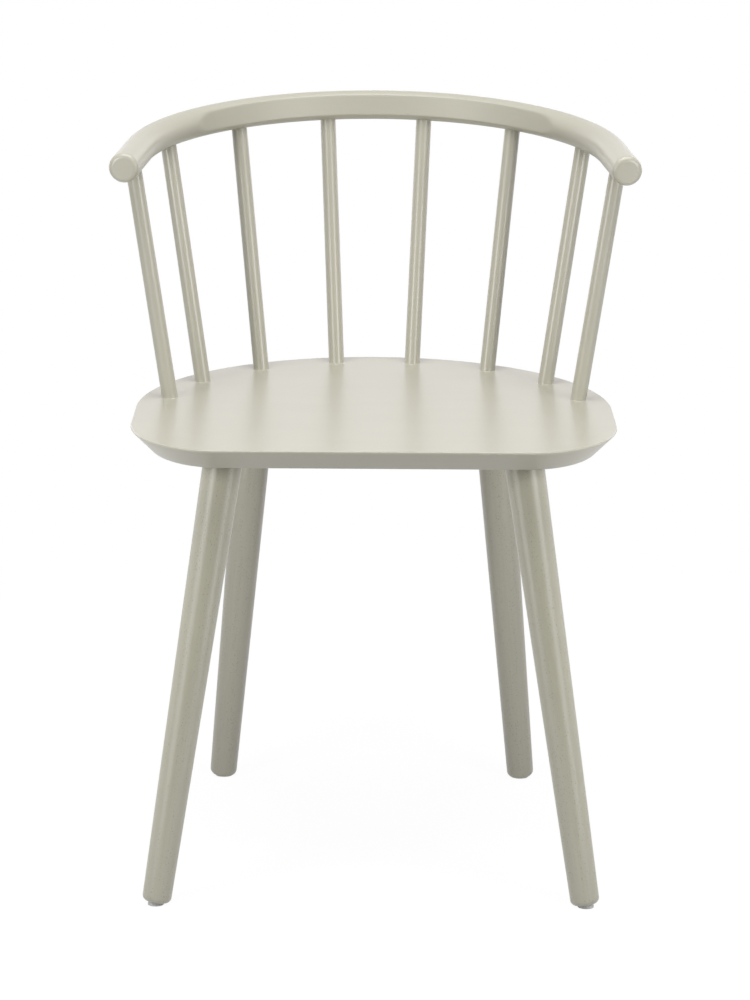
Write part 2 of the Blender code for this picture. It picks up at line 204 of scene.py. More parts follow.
def noise(tree, place, stretch, detail=2.0):
    """A smooth noise from 0 to 1 in a stretched space."""
    mapping = add_node(tree, "ShaderNodeMapping")
    mapping.inputs["Scale"].default_value = stretch
    wire(tree, place, mapping.inputs["Vector"])
    texture = add_node(tree, "ShaderNodeTexNoise")
    texture.inputs["Scale"].default_value = 1.0
    texture.inputs["Detail"].default_value = detail
    wire(tree, mapping.outputs["Vector"], texture.inputs["Vector"])
    return texture.outputs["Fac"]


# %% [markdown]
# ### The shared paint group
#
# The group takes the place in the wood, the paint's colour and how much the pores and the dust show.
# It puts out the colour, the roughness and a height in metres for a Bump node. The shader itself stays
# in each material.

# %% The sprayed paint group
sprayed_paint = bpy.data.node_groups.new("sprayed_paint", "ShaderNodeTree")
for label, kind, preset in (
    ("Place", "NodeSocketVector", (0.0, 0.0, 0.0)),
    ("Colour", "NodeSocketColor", (0.5, 0.5, 0.5, 1.0)),
    ("Pores", "NodeSocketFloat", 0.5),
    ("Dust", "NodeSocketFloat", 0.5),
    ("Roughness", "NodeSocketFloat", 0.35),
):
    sprayed_paint.interface.new_socket(label, in_out="INPUT", socket_type=kind).default_value = preset
sprayed_paint.interface.new_socket("Colour", in_out="OUTPUT", socket_type="NodeSocketColor")
for label in ("Roughness", "Height"):
    sprayed_paint.interface.new_socket(label, in_out="OUTPUT", socket_type="NodeSocketFloat")
paint_in = add_node(sprayed_paint, "NodeGroupInput").outputs
paint_out = add_node(sprayed_paint, "NodeGroupOutput").inputs
print("paint group sockets:", [item.name for item in sprayed_paint.interface.items_tree])

# %% [markdown]
# ### Fields in the wood
#
# Every field is read at a place in the straight piece of wood, whose third number runs along the grain.
# The drift is slow. The peel is fine and the same in all directions, like the skin of an orange. The
# fibres are long threads. Pores come in strips, because the vessels of the wood do, so a stretched noise
# picks where the dashes may show. The nibs are single grains of dust.

# %% What the group reads from the wood
drift = noise(sprayed_paint, paint_in["Place"], (34.0, 34.0, 12.0), 3.0)
peel = noise(sprayed_paint, paint_in["Place"], (620.0, 620.0, 620.0), 2.0)
fibres = noise(sprayed_paint, paint_in["Place"], (520.0, 520.0, 16.0), 3.0)
strips = noise(sprayed_paint, paint_in["Place"], (170.0, 170.0, 9.0))
patches = fade(sprayed_paint, strips, 0.42, 0.56)
dashes = dots(sprayed_paint, paint_in["Place"], (600.0, 600.0, 340.0), 0.28, 0.72)
dashes = calculate(sprayed_paint, "MULTIPLY", dashes, patches)
dashes = calculate(sprayed_paint, "MULTIPLY", dashes, paint_in["Pores"], clamp=True)
nibs = dots(sprayed_paint, paint_in["Place"], (46.0, 46.0, 46.0), 0.022, 0.35)
nibs = calculate(sprayed_paint, "MULTIPLY", nibs, paint_in["Dust"], clamp=True)
print("paint fields use", len(sprayed_paint.nodes), "nodes")

# %% [markdown]
# ### Tone, sheen and height
#
# The tone is a factor on the paint's colour: the drift moves it by about a hundredth, and the dashes and
# nibs darken it. The sheen is the roughness with a little of the peel in it, and a pore is duller. The
# height adds up in metres: thousandths of a millimetre for the peel and the fibres, and a few hundredths
# of a millimetre for a pore or a grain of dust.

# %% What the group puts out
tone = fade(sprayed_paint, drift, 0.30, 0.70, 0.990, 1.009)
grain = calculate(sprayed_paint, "ADD", fibres, peel)
grain = calculate(sprayed_paint, "SUBTRACT", grain, 1.0)
grain = calculate(sprayed_paint, "MULTIPLY", grain, paint_in["Pores"])
tone = calculate(sprayed_paint, "MULTIPLY_ADD", grain, 0.12, tone)
tone = calculate(sprayed_paint, "MULTIPLY_ADD", dashes, -0.40, tone)
tone = calculate(sprayed_paint, "MULTIPLY_ADD", nibs, -0.16, tone)
tinted = add_node(sprayed_paint, "ShaderNodeVectorMath", operation="SCALE")
wire(sprayed_paint, paint_in["Colour"], tinted.inputs[0])
wire(sprayed_paint, tone, tinted.inputs["Scale"])
wire(sprayed_paint, tinted.outputs["Vector"], paint_out["Colour"])
uneven = calculate(sprayed_paint, "SUBTRACT", peel, 0.5)
sheen = calculate(sprayed_paint, "MULTIPLY_ADD", uneven, 0.03, paint_in["Roughness"])
sheen = calculate(sprayed_paint, "MULTIPLY_ADD", dashes, 0.22, sheen, clamp=True)
wire(sprayed_paint, sheen, paint_out["Roughness"])
height = calculate(sprayed_paint, "MULTIPLY", peel, 0.0000025)
height = calculate(sprayed_paint, "MULTIPLY_ADD", fibres, 0.000003, height)
height = calculate(sprayed_paint, "MULTIPLY_ADD", dashes, -0.000025, height)
height = calculate(sprayed_paint, "MULTIPLY_ADD", nibs, 0.000060, height)
wire(sprayed_paint, height, paint_out["Height"])
print("paint group nodes:", len(sprayed_paint.nodes))

# %% [markdown]
# ### A satin paint
#
# Each paint material reads the attribute that the mesh helper stored, sends it through the shared group
# and feeds colour, roughness and a bump to a Principled shader. Only a few numbers differ from piece to
# piece, so a helper makes them all.

# %% A helper that makes a paint material
def paint_material(name, colour, pores, dust, roughness, relief, shine=0.5):
    """A satin paint that places the shared group and feeds colour, roughness and bump to its shader."""
    material = bpy.data.materials.new(name)
    material.use_nodes = True
    tree = material.node_tree
    shader = tree.nodes["Principled BSDF"]
    shader.inputs["IOR"].default_value = 1.58
    shader.inputs["Specular IOR Level"].default_value = shine
    place = add_node(tree, "ShaderNodeAttribute", name="wood_place", attribute_name="wood")
    group = add_node(tree, "ShaderNodeGroup", name="paint_skin", node_tree=sprayed_paint)
    wire(tree, place.outputs["Vector"], group.inputs["Place"])
    group.inputs["Colour"].default_value = colour
    for label, number in (("Pores", pores), ("Dust", dust), ("Roughness", roughness)):
        group.inputs[label].default_value = number
    bump = add_node(tree, "ShaderNodeBump")
    bump.inputs["Strength"].default_value = relief
    bump.inputs["Distance"].default_value = 1.0
    wire(tree, group.outputs["Height"], bump.inputs["Height"])
    wire(tree, group.outputs["Colour"], shader.inputs["Base Color"])
    wire(tree, group.outputs["Roughness"], shader.inputs["Roughness"])
    wire(tree, bump.outputs["Normal"], shader.inputs["Normal"])
    return material


# %% [markdown]
# ### One paint, several pieces
#
# The seat, the rail and the rods were sanded smooth, so few pores show there. The turned legs show the
# most, and their paint shines more. Their colour is a shade deeper and yellower than the rest: painted
# shade, standing in for the dimmer, warmer light that reaches the legs under the seat.

# %% Paint materials
PAINT_COLOUR = (0.498, 0.483, 0.399, 1.0)
# The legs' colour is darker and yellower than the paint: painted shade for the dimmer, warmer light under
# the seat.
SHADED_LEG_COLOUR = (0.473, 0.457, 0.356, 1.0)
seat_paint = paint_material("seat_paint", PAINT_COLOUR, pores=0.05, dust=0.8, roughness=0.31, relief=0.12)
rail_paint = paint_material("rail_paint", PAINT_COLOUR, pores=0.05, dust=0.4, roughness=0.45, relief=0.3)
spindle_paint = paint_material(
    "spindle_paint", PAINT_COLOUR, pores=0.03, dust=0.2, roughness=0.29, relief=0.2
)
leg_paint = paint_material(
    "leg_paint", SHADED_LEG_COLOUR, pores=1.0, dust=0.3, roughness=0.33, relief=0.6, shine=1.0
)
print("paints:", [m.name for m in (seat_paint, rail_paint, spindle_paint, leg_paint)])

# %% [markdown]
# ### Glossier arms
#
# The middle of the rail is planed and sanded dull, while the round arms and the ends, which soak up
# several coats, dry glossier. The third number of the place in the wood is the distance along the rail,
# so the roughness can fall with it.

# %% Roughness along the rail
rail_tree = rail_paint.node_tree
along_rail = add_node(rail_tree, "ShaderNodeSeparateXYZ")
wire(rail_tree, rail_tree.nodes["wood_place"].outputs["Vector"], along_rail.inputs["Vector"])
from_middle = calculate(rail_tree, "ABSOLUTE", along_rail.outputs["Z"])
rail_sheen = fade(rail_tree, from_middle, 0.20, 0.40, 0.45, 0.31)
wire(rail_tree, rail_sheen, rail_tree.nodes["paint_skin"].inputs["Roughness"])
print("rail paint nodes:", len(rail_tree.nodes))

# %% [markdown]
# ## Hanging a piece on the chair
#
# The chair has no moving parts, so every piece rides on its one body. Each new surface stands in for one
# node of the imported model, which it hides, and takes its material. A helper does all this for every
# piece.

# %% A helper that hangs a piece on the chair
def add_piece(name, mesh, material, node):
    """A finished piece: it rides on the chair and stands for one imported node."""
    mesh.materials.append(material)
    piece = bpy.data.objects.new(name, mesh)
    bpy.context.scene.collection.objects.link(piece)
    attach(piece, "root")
    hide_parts(node)
    return piece


# %% [markdown]
# ## The seat
#
# The seat is a glued panel about 22 mm thick. From above its edge is half an ellipse at the back, two
# short straight sides and two elliptic corners at the front. A broad chamfer underneath makes it look
# thin. It could be a bevelled slab, but here one outline is moved inwards along its own normal for each
# ring, which gives the eased upper edge, the narrow band and the chamfer as one clean surface.

# %% Seat sizes
seat_low, seat_high = (np.array(corner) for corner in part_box("seat"))
SEAT_TOP = seat_high[2]
SEAT_MIDDLE = (seat_low[1] + seat_high[1]) / 2
SEAT_HALF_WIDTH = (seat_high[0] - seat_low[0]) / 2
SEAT_HALF_DEPTH = (seat_high[1] - seat_low[1]) / 2
SEAT_THICKNESS = seat_high[2] - seat_low[2]
BACK_ROUND = 0.252
CORNER_WIDTH = 0.091
CORNER_LENGTH = 0.122
print(f"seat: {2 * SEAT_HALF_WIDTH:.4f} by {2 * SEAT_HALF_DEPTH:.4f} m, top at {SEAT_TOP:.4f} m")

# %% [markdown]
# ### The seat's outline
#
# Half of the outline is drawn from the middle of the back to the middle of the front and then mirrored.
# Its points are spaced evenly by length, so that no face of a ring gets long and thin. The line between
# the neighbours of a point is square to its outward normal.

# %% The seat's outline
def seat_outline(count):
    """The seat's edge and its outward normals, evenly spaced by length.

    A quarter ellipse from the middle of the back to the side, a straight side, a quarter ellipse round
    the front corner and half the front edge give the right half; the left half is its mirror image.
    """
    quarter = np.linspace(0.0, math.pi / 2, 240)
    cosine, sine = np.cos(quarter), np.sin(quarter)
    back_y = SEAT_HALF_DEPTH - BACK_ROUND
    corner_x = SEAT_HALF_WIDTH - CORNER_WIDTH
    corner_y = CORNER_LENGTH - SEAT_HALF_DEPTH
    back = np.stack([SEAT_HALF_WIDTH * sine, back_y + BACK_ROUND * cosine], axis=-1)
    corner = np.stack([corner_x + CORNER_WIDTH * cosine, corner_y - CORNER_LENGTH * sine], axis=-1)
    half = np.vstack([back, corner, [[0.0, -SEAT_HALF_DEPTH]]])
    loop = np.vstack([half, (half * [-1.0, 1.0])[::-1][1:]])
    length = np.concatenate([[0.0], np.cumsum(np.linalg.norm(np.diff(loop, axis=0), axis=1))])
    spaced = np.linspace(0.0, length[-1], count, endpoint=False)
    edge = np.stack([np.interp(spaced, length, loop[:, axis]) for axis in (0, 1)], axis=-1)
    along = np.roll(edge, -2, axis=0) - np.roll(edge, 2, axis=0)
    along /= np.linalg.norm(along, axis=1)[:, None]
    return edge, np.stack([-along[:, 1], along[:, 0]], axis=-1)


seat_edge, seat_normal = seat_outline(640)
print("seat edge:", len(seat_edge), "points, half width", round(seat_edge[:, 0].max(), 4))

# %% [markdown]
# ### The seat's edge in section
#
# The top ends in an eased corner, below it stands a band of about two millimetres, and from a soft knee
# the chamfer runs in and down at 45 degrees to the flat underside. Each row of the section is a distance
# inwards from the outline and a height from the top. Quadratic curves make the soft corners.

# %% The seat's section, from the top round the edge to the underside
EDGE_ROUND = 0.0016
BAND = 0.0021
KNEE_ROUND = 0.0008


def round_corner(start, corner, end, steps):
    """A quadratic curve from start to end that is pulled towards a corner: a soft edge in section."""
    t = np.linspace(0.0, 1.0, steps)[:, None]
    return (1 - t) ** 2 * np.array(start) + 2 * t * (1 - t) * np.array(corner) + t**2 * np.array(end)


chamfer = SEAT_THICKNESS - BAND
slope = KNEE_ROUND / math.sqrt(2.0)
seat_section = np.vstack([
    [[0.020, 0.0], [EDGE_ROUND + 0.0010, 0.0]],
    round_corner((EDGE_ROUND, 0.0), (0.0, 0.0), (0.0, -EDGE_ROUND), 9),
    round_corner((0.0, -BAND + 0.0003), (0.0, -BAND), (slope, -BAND - slope), 5),
    round_corner(
        (chamfer - slope, slope - SEAT_THICKNESS),
        (chamfer, -SEAT_THICKNESS),
        (chamfer + KNEE_ROUND, -SEAT_THICKNESS),
        6,
    ),
    [[chamfer + 0.003, -SEAT_THICKNESS]],
])
print("seat section:", len(seat_section), "rows, chamfer", round(chamfer, 4), "m")

# %% [markdown]
# ### Rings round the seat
#
# For every row of the section the outline moves inwards along its normals, which makes one ring. A
# half-size copy of the first and of the last ring closes the top and the underside. The grain of the seat
# is taken to run from side to side, so the place in the wood has its third number across the chair.

# %% The seat panel
rim_rings = np.empty((len(seat_section), len(seat_edge), 3))
rim_rings[..., :2] = seat_edge - seat_section[:, 0][:, None, None] * seat_normal
rim_rings[..., 2] = seat_section[:, 1][:, None]
shrink = np.array([[0.5, 0.5, 1.0]])
seat_rings = np.concatenate([rim_rings[:1] * shrink, rim_rings, rim_rings[-1:] * shrink])
seat_rings = seat_rings + [0.0, SEAT_MIDDLE, SEAT_TOP]
seat_wood = seat_rings[..., [1, 2, 0]]
seat_mesh = skin_rings("seat_panel", seat_rings, seat_wood)
seat = add_piece("seat_panel", seat_mesh, seat_paint, "seat")

# %% [markdown]
# ## The bent rail
#
# The rail is a round bar of about 30 mm, steamed and bent into a horseshoe. Along its inner face a flat
# facet is planed, where the sitter's back leans, and it runs out in a blunt thumbnail shape at each
# end. A round section carried along the arc gives the bar. The facet is a plane in each section: points
# beyond it are drawn back to it by a soft limit, which also eases the facet's long edges.

# %% Rail sizes and path
RAIL_RADIUS = 0.015
RAIL_BEND_RADIUS = 0.2395
RAIL_BEND_LENGTH = RAIL_BEND_RADIUS * math.radians(82.2)
RAIL_ARM_LENGTH = 0.079
RAIL_HALF_LENGTH = RAIL_BEND_LENGTH + RAIL_ARM_LENGTH
RAIL_END_ROUND = 0.005
RAIL_TILT = math.radians(5.4)
RAIL_SETBACK = 0.0242
RAIL_RISE = 0.2667
RAIL_PLACE = np.array([0.0, SEAT_MIDDLE + SEAT_HALF_DEPTH + RAIL_SETBACK, SEAT_TOP + RAIL_RISE])
TILT = np.array([
    [1.0, 0.0, 0.0],
    [0.0, math.cos(RAIL_TILT), -math.sin(RAIL_TILT)],
    [0.0, math.sin(RAIL_TILT), math.cos(RAIL_TILT)],
])


def rail_path(distance):
    """Points of the rail's axis in its own plane, and the directions to its inner side.

    The axis is a circular arc to each side of its middle that runs on as a straight arm.
    """
    bent = np.clip(distance, -RAIL_BEND_LENGTH, RAIL_BEND_LENGTH)
    straight = distance - bent
    turn = bent / RAIL_BEND_RADIUS
    sine, cosine, flat = np.sin(turn), np.cos(turn), np.zeros_like(turn)
    x = RAIL_BEND_RADIUS * sine + straight * cosine
    y = RAIL_BEND_RADIUS * (cosine - 1.0) - straight * sine
    return np.stack([x, y, flat], axis=-1), np.stack([-sine, -cosine, flat], axis=-1)


print("rail length:", round(2 * RAIL_HALF_LENGTH, 4), "m")

# %% [markdown]
# ### Stations along the rail
#
# Rings stand at even distances along the bar. At each end they follow a quarter circle, which rounds the
# rim over, and then shrink on the spot to leave a flat disc.

# %% Rail stations, with a rounded rim and a flat disc at each end
rim = np.linspace(0.0, math.pi / 2, 12)
end_places = RAIL_HALF_LENGTH - RAIL_END_ROUND * (1.0 - np.sin(rim))
end_radii = RAIL_RADIUS - RAIL_END_ROUND * (1.0 - np.cos(rim))
end_places = np.append(end_places, [RAIL_HALF_LENGTH, RAIL_HALF_LENGTH])
end_radii = np.append(end_radii, [RAIL_RADIUS - RAIL_END_ROUND - 0.0008, 0.004])
bar = np.linspace(-end_places[0], end_places[0], 460)[1:-1]
rail_stations = np.concatenate([-end_places[::-1], bar, end_places])
rail_radii = np.concatenate([end_radii[::-1], np.full(len(bar), RAIL_RADIUS), end_radii])
print("rail rings:", len(rail_stations))

# %% [markdown]
# ### The planed facet
#
# A maker would plane the facet to one depth along the middle of the rail and lift the tool out at both
# ends. In numbers the plane keeps its depth over a reach and then rises along a circle. A cut by a solid
# would leave hard edges, so a point beyond the plane is drawn back to it by a soft limit instead.

# %% The facet's depth along the rail
FACET_DEPTH = 0.0038
FACET_REACH = 0.197
FACET_LEAN = math.radians(13.0)
FACET_EASE = 0.00025
END_EASE = 0.00095
RUN_OUT_RADIUS = 0.060
RUN_OUT = 1.0 / (1.0 / RUN_OUT_RADIUS - 1.0 / (RAIL_BEND_RADIUS - RAIL_RADIUS + FACET_DEPTH))


def facet_limit(section, inward, distance):
    """Draws a section's points back behind the facet's plane.

    The plane faces the inner side and leans back. It keeps its depth over the facet's reach, then lifts
    out along a circle. The limit of a height h is minus e times the logarithm of one plus exp(-h/e),
    and e grows towards the ends, where the facet is sanded into the round bar.
    """
    facing = inward * [1.0, math.cos(FACET_LEAN), 0.0]
    facing[:, 2] = -inward[:, 1] * math.sin(FACET_LEAN)
    facing /= np.linalg.norm(facing, axis=1)[:, None]
    past = np.clip(np.abs(distance) - FACET_REACH, 0.0, RUN_OUT * 0.9)
    depth = RAIL_RADIUS - FACET_DEPTH + RUN_OUT - np.sqrt(RUN_OUT**2 - past**2)
    depth = depth * np.einsum("ij,ij->i", inward, facing)
    height = np.einsum("ijk,ik->ij", section, facing) - depth[:, None]
    sanded = [FACET_REACH - 0.045, FACET_REACH + 0.020]
    ease = np.interp(np.abs(distance), sanded, [FACET_EASE, END_EASE])[:, None]
    limited = -ease * np.logaddexp(0.0, -height / ease)
    return section + (limited - height)[..., None] * facing[:, None, :]


print("facet run-out radius:", round(RUN_OUT, 4), "m")

# %% [markdown]
# ### The rail's surface
#
# Each ring is a circle spanned by the direction to the inner side and the upright. The facet limits it,
# and the whole horseshoe is tilted down towards the front and set in its place. The place in the wood is
# that of the straight bar before bending, so the grain follows the bend.

# %% The rail itself
axis_points, inner_side = rail_path(rail_stations)
around_rail = np.linspace(0.0, 2 * math.pi, 168, endpoint=False)
up_side = np.array([0.0, 0.0, 1.0])
inward_part = np.cos(around_rail)[None, :, None] * inner_side[:, None, :]
section = inward_part + np.sin(around_rail)[None, :, None] * up_side
section = facet_limit(section * rail_radii[:, None, None], inner_side, rail_stations)
rail_rings = (axis_points[:, None, :] + section) @ TILT.T + RAIL_PLACE
rail_wood = np.empty_like(rail_rings)
rail_wood[..., 0] = rail_radii[:, None] * np.cos(around_rail)
rail_wood[..., 1] = rail_radii[:, None] * np.sin(around_rail)
rail_wood[..., 2] = rail_stations[:, None]
rail_mesh = skin_rings("bent_rail", rail_rings, rail_wood)
add_piece("bent_rail", rail_mesh, rail_paint, "back_rail")

# %% [markdown]
# ## The spindles
#
# Eight plain rods of 16 mm are glued into the seat and into the underside of the rail. Where a rod
# meets the seat, the paint has run into the corner and left a thin bead. The rod could be a cylinder
# and the bead a torus, but a leaning rod meets the seat in an ellipse, so the foot of each rod is worked
# out as that ellipse and the bead as a small hollow curve from the rod to the seat.

# %% Spindle sizes and lines
SPINDLE_RADIUS = 0.008
SPINDLE_INSET = 0.028
SPINDLE_SEAT_TURNS = np.radians([11.0, 34.4, 57.4, 79.4])
SPINDLE_STATIONS = np.array([0.051, 0.153, 0.2605, 0.370])
SPINDLE_IN_RAIL = 0.006
BEAD = 0.0009
RING = np.linspace(0.0, 2 * math.pi, 56, endpoint=False)


def across(axis):
    """Two unit directions square to an axis and to each other."""
    first = np.cross(axis, [0.0, 1.0, 0.0])
    first /= np.linalg.norm(first)
    return first, np.cross(axis, first)


def spindle_line(sign, number):
    """The foot of a spindle on the seat and its entry under the rail, by side and number."""
    turn = sign * SPINDLE_SEAT_TURNS[number]
    x = (SEAT_HALF_WIDTH - SPINDLE_INSET) * math.sin(turn)
    y = SEAT_MIDDLE + SEAT_HALF_DEPTH - BACK_ROUND + (BACK_ROUND - SPINDLE_INSET) * math.cos(turn)
    point, _ = rail_path(np.array([sign * SPINDLE_STATIONS[number]]))
    entry = TILT @ (point[0] - [0.0, 0.0, RAIL_RADIUS]) + RAIL_PLACE
    return np.array([x, y, SEAT_TOP]), entry


print("spindle ring:", len(RING), "points")

# %% [markdown]
# ### One rod
#
# The rings run from inside the rail down to the seat. The lowest ring of the rod is the ellipse in which
# it meets the seat. From there a curve spreads the paint outwards by less than a millimetre, and the last
# rings sink into the seat, so that no gap shows.

# %% A spindle with its paint bead
def spindle_rings(foot, entry):
    """Rings of a leaning rod, from inside the rail down to the seat, and their places in the wood.

    A ring point is foot plus axis times height plus radius times the ring's direction. The lowest rings
    follow the ellipse where the rod meets the seat, and a quadratic curve spreads them into the bead.
    """
    axis = (entry - foot) / np.linalg.norm(entry - foot)
    first, second = across(axis)
    spoke = SPINDLE_RADIUS * (np.cos(RING)[:, None] * first + np.sin(RING)[:, None] * second)
    meet = spoke - axis * (spoke[:, 2] / axis[2])[:, None]
    outward = meet * [1.0, 1.0, 0.0]
    outward /= np.linalg.norm(outward, axis=1)[:, None]
    top = np.linalg.norm(entry - foot) + SPINDLE_IN_RAIL
    heights = np.linspace(1.0, 0.0, 40)[:, None, None]
    low = meet + axis * BEAD
    rod = low + heights * (spoke + axis * top - low)
    t = np.linspace(0.0, 1.0, 7)[1:, None, None]
    bead = (1 - t) ** 2 * low + 2 * t * (1 - t) * meet + t**2 * (meet + outward * BEAD)
    sunk = np.stack([meet + outward * BEAD, meet * 0.5]) - [0.0, 0.0, 0.0004]
    local = np.concatenate([rod, bead, sunk])
    wood = np.stack([local @ first, local @ second, local @ axis], axis=-1)
    return local + foot, wood


print("one rod:", spindle_rings(*spindle_line(1, 0))[0].shape[0], "rings")

# %% [markdown]
# ### Eight rods
#
# The rods are all turned alike and only differ in their lines. A shift along the grain gives each one its
# own piece of wood, so that no pattern repeats.

# %% The spindles
spindle_count = 0
for side, sign in (("left", -1), ("right", 1)):
    for number in range(4):
        rings, wood = spindle_rings(*spindle_line(sign, number))
        wood = wood + [0.0, 0.0, 0.37 * spindle_count]
        name = f"spindle_rod_{side}_{number + 1}"
        mesh = skin_rings(name, rings, wood)
        add_piece(name, mesh, spindle_paint, f"spindle_{side}_{number + 1}")
        spindle_count += 1
print("spindles:", spindle_count)

# %% [markdown]
# ## The legs
#
# Each leg is turned from a square blank, straight and slightly thinner towards the foot, where its edge
# is rounded over. The top is cut level so that it sits flat under the seat. In numbers a leg is a cone
# frustum about its own leaning axis whose rings stretch upwards to the level cut.

# %% Leg sizes and lines
SEAT_UNDERSIDE = SEAT_TOP - SEAT_THICKNESS
LEG_TOP_RADIUS = 0.01925
LEG_FOOT_RADIUS = 0.01425
LEG_FOOT_ROUND = 0.0055
PAD_THICKNESS = 0.0026
LEG_GAP = 0.0003
LEG_RING = np.linspace(0.0, 2 * math.pi, 80, endpoint=False)
# way to the front or back, insets from the side and from the edge, splay, rake
LEGS = {
    "front": (-1, 0.093, 0.0686, math.radians(8.55), math.radians(6.35)),
    "rear": (1, 0.1164, 0.0993, math.radians(5.3), math.radians(9.9)),
}


def leg_line(row, sign):
    """The middle of a leg's foot and its upward axis, from its insets, splay and rake."""
    way, side_inset, edge_inset, splay, rake = LEGS[row]
    top = np.array([
        sign * (SEAT_HALF_WIDTH - side_inset),
        SEAT_MIDDLE + way * (SEAT_HALF_DEPTH - edge_inset),
        SEAT_UNDERSIDE,
    ])
    axis = np.array([-sign * math.tan(splay), -way * math.tan(rake), 1.0])
    axis /= np.linalg.norm(axis)
    return top - axis * (SEAT_UNDERSIDE / axis[2] - PAD_THICKNESS), axis


print("leg ring:", len(LEG_RING), "points")

# %% [markdown]
# ### One leg
#
# The rounded edge of the foot is a quarter circle in section, and above it the radius grows evenly along
# the axis. The level cut under the seat isn't square to a leaning leg, so every line up the leg has its
# own length.

# %% A leg, from its rounded foot to its level top
def leg_rings(foot, axis):
    """Rings of a tapering leg and their places in the wood.

    The foot is a quarter circle in section. Above it the radius grows evenly with height, and each line
    up the leg runs to the height where it meets the level under the seat.
    """
    first, second = across(axis)
    spoke = np.cos(LEG_RING)[:, None] * first + np.sin(LEG_RING)[:, None] * second
    growth = (LEG_TOP_RADIUS - LEG_FOOT_RADIUS) / ((SEAT_UNDERSIDE - foot[2]) / axis[2])
    level = SEAT_UNDERSIDE - LEG_GAP - foot[2]
    reach = (level - LEG_FOOT_RADIUS * spoke[:, 2]) / (axis[2] + growth * spoke[:, 2])
    turn = np.linspace(math.pi / 2, 0.0, 12)
    foot_heights = LEG_FOOT_ROUND * (1.0 - np.sin(turn))
    foot_radii = LEG_FOOT_RADIUS + growth * foot_heights - LEG_FOOT_ROUND * (1.0 - np.cos(turn))
    foot_heights = np.concatenate([[0.0, 0.0], foot_heights])
    foot_radii = np.concatenate([[0.004, foot_radii[0] - 0.0008], foot_radii])
    share = np.linspace(0.0, 1.0, 60)[1:, None]
    upper_heights = LEG_FOOT_ROUND + share * (reach - LEG_FOOT_ROUND)
    upper_radii = LEG_FOOT_RADIUS + growth * upper_heights
    heights = np.vstack([np.repeat(foot_heights[:, None], len(LEG_RING), axis=1), upper_heights])
    radii = np.vstack([np.repeat(foot_radii[:, None], len(LEG_RING), axis=1), upper_radii])
    local = heights[..., None] * axis + radii[..., None] * spoke
    wood = np.stack([radii * np.cos(LEG_RING), radii * np.sin(LEG_RING), heights], axis=-1)
    return local + foot, wood


print("one leg:", leg_rings(*leg_line("front", 1))[0].shape[0], "rings")

# %% [markdown]
# ### Four legs
#
# The front legs splay more to the sides, and the rear legs rake more to the back. As with the rods, a
# shift along the grain gives each leg its own piece of wood.

# %% The legs
leg_count = 0
for row in LEGS:
    for side, sign in (("left", -1), ("right", 1)):
        rings, wood = leg_rings(*leg_line(row, sign))
        wood = wood + [0.0, 0.0, 0.61 * leg_count]
        name = f"turned_leg_{row}_{side}"
        mesh = skin_rings(name, rings, wood)
        add_piece(name, mesh, leg_paint, f"leg_{row}_{side}")
        leg_count += 1
print("legs:", leg_count)

# %% [markdown]
# ## The felt pads
#
# A small self-adhesive felt disc under each foot keeps the floor from being scratched. It is pressed
# level by the floor, so it is a wedge, and its cut edge is frayed. The fray is a sum of a few waves
# round the disc whose phases come from a seeded random generator, so that it is the same every time.

# %% Felt material
felt = bpy.data.materials.new("pressed_felt")
felt.use_nodes = True
felt_shader = felt.node_tree.nodes["Principled BSDF"]
felt_shader.inputs["Roughness"].default_value = 0.95
felt_shader.inputs["Sheen Weight"].default_value = 0.3
felt_place = add_node(felt.node_tree, "ShaderNodeTexCoord").outputs["Object"]
hairs = noise(felt.node_tree, felt_place, (2200.0, 2200.0, 900.0), 4.0)
clumps = noise(felt.node_tree, felt_place, (420.0, 420.0, 420.0), 2.0)
felt_tone = add_node(felt.node_tree, "ShaderNodeValToRGB")
felt_tone.color_ramp.elements[0].position = 0.32
felt_tone.color_ramp.elements[0].color = (0.62, 0.615, 0.61, 1.0)
felt_tone.color_ramp.elements[1].position = 0.68
felt_tone.color_ramp.elements[1].color = (0.96, 0.96, 0.95, 1.0)
soft = calculate(felt.node_tree, "MULTIPLY", clumps, 0.4)
mixed = calculate(felt.node_tree, "MULTIPLY_ADD", hairs, 0.6, soft)
wire(felt.node_tree, mixed, felt_tone.inputs["Fac"])
wire(felt.node_tree, felt_tone.outputs["Color"], felt_shader.inputs["Base Color"])
felt_bump = add_node(felt.node_tree, "ShaderNodeBump")
felt_bump.inputs["Strength"].default_value = 0.8
felt_bump.inputs["Distance"].default_value = 0.0004
wire(felt.node_tree, hairs, felt_bump.inputs["Height"])
wire(felt.node_tree, felt_bump.outputs["Normal"], felt_shader.inputs["Normal"])
print("felt nodes:", len(felt.node_tree.nodes))

# %% [markdown]
# ### One disc
#
# The side of a disc runs down along the leg's axis until it meets the floor, so under a leaning leg one
# side is thicker than the other. The fray keeps the radius within a twentieth of the plain disc's.

# %% A felt disc
PAD_RADIUS = 0.008
PAD_RING = np.linspace(0.0, 2 * math.pi, 96, endpoint=False)
fray = np.random.default_rng(7)


